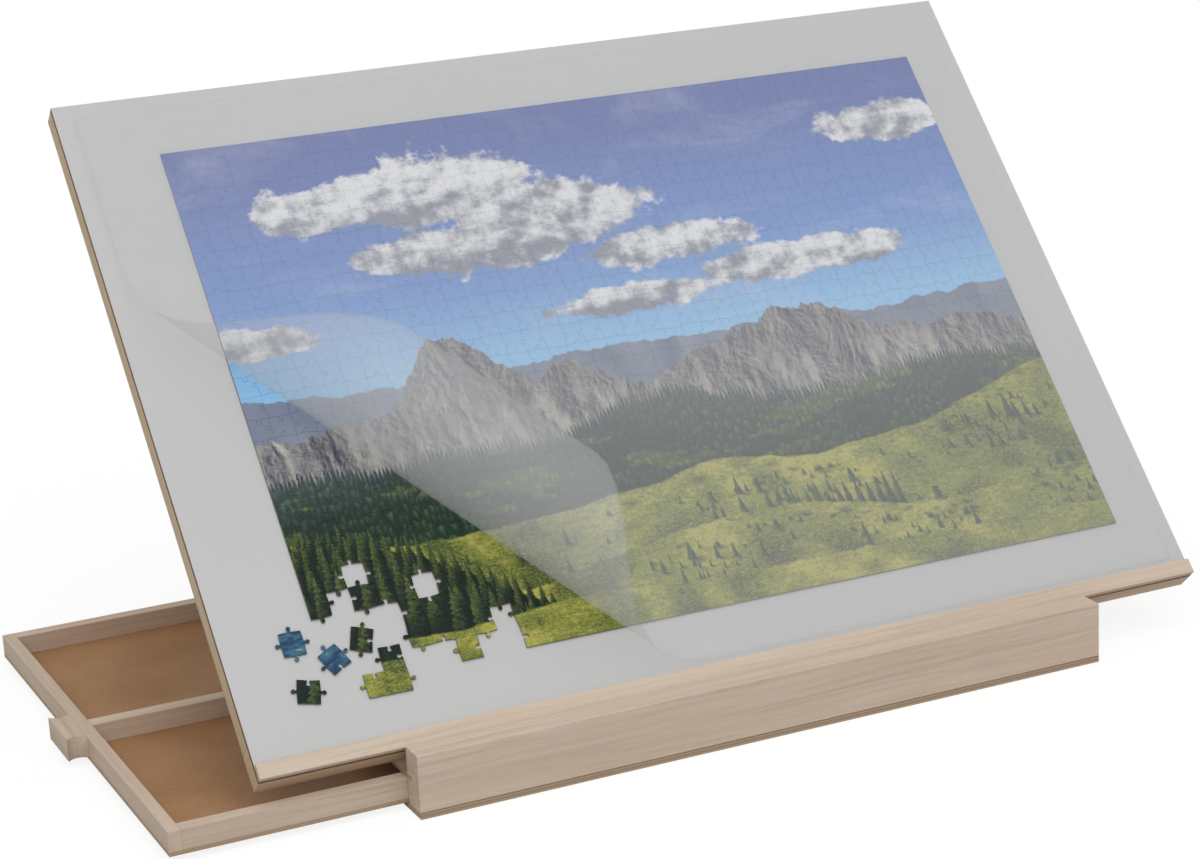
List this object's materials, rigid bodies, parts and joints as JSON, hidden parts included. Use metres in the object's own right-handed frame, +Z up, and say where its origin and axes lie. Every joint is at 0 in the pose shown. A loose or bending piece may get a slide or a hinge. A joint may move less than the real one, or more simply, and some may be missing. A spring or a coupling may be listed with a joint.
{
  "type": "tilting jigsaw puzzle case",
  "caption": "White puzzle board that tilts on a low wooden base, with a sorting drawer at each end, a prop behind and a clear cover sheet.",
  "frame": {"origin": "middle of the base's underside", "axes": "+X along the board and base, towards the closed drawer; +Y from the front rail to the back; +Z up"},
  "size_m": [0.887, 0.51, 0.4708],
  "materials": {
    "pale_wood": "sanded, unvarnished pale wood",
    "plywood": "thin plywood with dark sawn edges",
    "hardboard": "smooth brown hardboard",
    "white_panel": "white coated face, satin",
    "steel": "zinc plated",
    "brass": "knurled",
    "puzzle_card": "printed card with a satin face",
    "clear_film": "clear flexible film"
  },
  "bodies": {
    "base": {"bottom_panel": "plywood", "front_rail": "pale_wood", "back_rail": "pale_wood", "centre_bearer": "pale_wood", "deck_panel": "plywood", "base_screws": "steel", "left_guide_strip": "pale_wood", "right_guide_strip": "pale_wood", "hinge_deck_leaves": "steel", "hinge_pins": "steel", "deck_screws": "steel"},
    "board": {"board_panel": "white_panel", "lip_rail": "pale_wood", "front_batten": "pale_wood", "back_batten": "pale_wood", "left_batten": "pale_wood", "right_batten": "pale_wood", "cross_batten": "pale_wood", "pivot_blocks": "pale_wood", "pivot_pins": "steel", "hinge_board_leaves": "steel", "board_screws": "steel"},
    "prop": {"left_arm": "pale_wood", "right_arm": "pale_wood", "foot_rod": "steel"},
    "left_nut": {"left_thumb_nut": "brass"},
    "right_nut": {"right_thumb_nut": "brass"},
    "left_drawer": {"left_bottom": "hardboard", "left_end_wall": "pale_wood", "left_inner_wall": "pale_wood", "left_front_side": "pale_wood", "left_back_side": "pale_wood", "left_divider": "pale_wood", "left_grip": "pale_wood"},
    "right_drawer": {"right_bottom": "hardboard", "right_end_wall": "pale_wood", "right_inner_wall": "pale_wood", "right_front_side": "pale_wood", "right_back_side": "pale_wood", "right_divider": "pale_wood", "right_grip": "pale_wood"},
    "puzzle": {"puzzle_block": "puzzle_card", "loose_pieces": "puzzle_card"},
    "cover": {"cover_film": "clear_film"}
  },
  "joints": [
    {"name": "board_tilt", "type": "hinge", "parent": "base", "child": "board", "pos_m": [0, -0.218, 0.0311], "axis": [1, 0, 0], "range_deg": [-47.3, 0]},
    {"name": "prop_swing", "type": "hinge", "parent": "board", "child": "prop", "pos_m": [0, -0.07611, 0.19136], "axis": [1, 0, 0], "range_deg": [0, 94.6]},
    {"name": "left_nut_turn", "type": "hinge", "parent": "prop", "child": "left_nut", "pos_m": [0, 0.06902, 0.03408], "axis": [1, 0, 0], "range_deg": [0, 180]},
    {"name": "right_nut_turn", "type": "hinge", "parent": "prop", "child": "right_nut", "pos_m": [0, 0.06902, 0.03408], "axis": [1, 0, 0], "range_deg": [0, 180]},
    {"name": "left_drawer_slide", "type": "slide", "parent": "base", "child": "left_drawer", "axis": [-1, 0, 0], "range_m": [-0.1805, 0.058]},
    {"name": "right_drawer_slide", "type": "slide", "parent": "base", "child": "right_drawer", "axis": [1, 0, 0], "range_m": [0, 0.2385]},
    {"name": "puzzle_lift", "type": "slide", "parent": "board", "child": "puzzle", "axis": [0, -0.7349, 0.6782], "range_m": [0, 0.12]},
    {"name": "cover_lift", "type": "slide", "parent": "puzzle", "child": "cover", "axis": [0, -0.7349, 0.6782], "range_m": [0, 0.15]}
  ],
  "couplings": [
    {"joint": "prop_swing", "follows": "board_tilt", "ratio": -2}
  ]
}
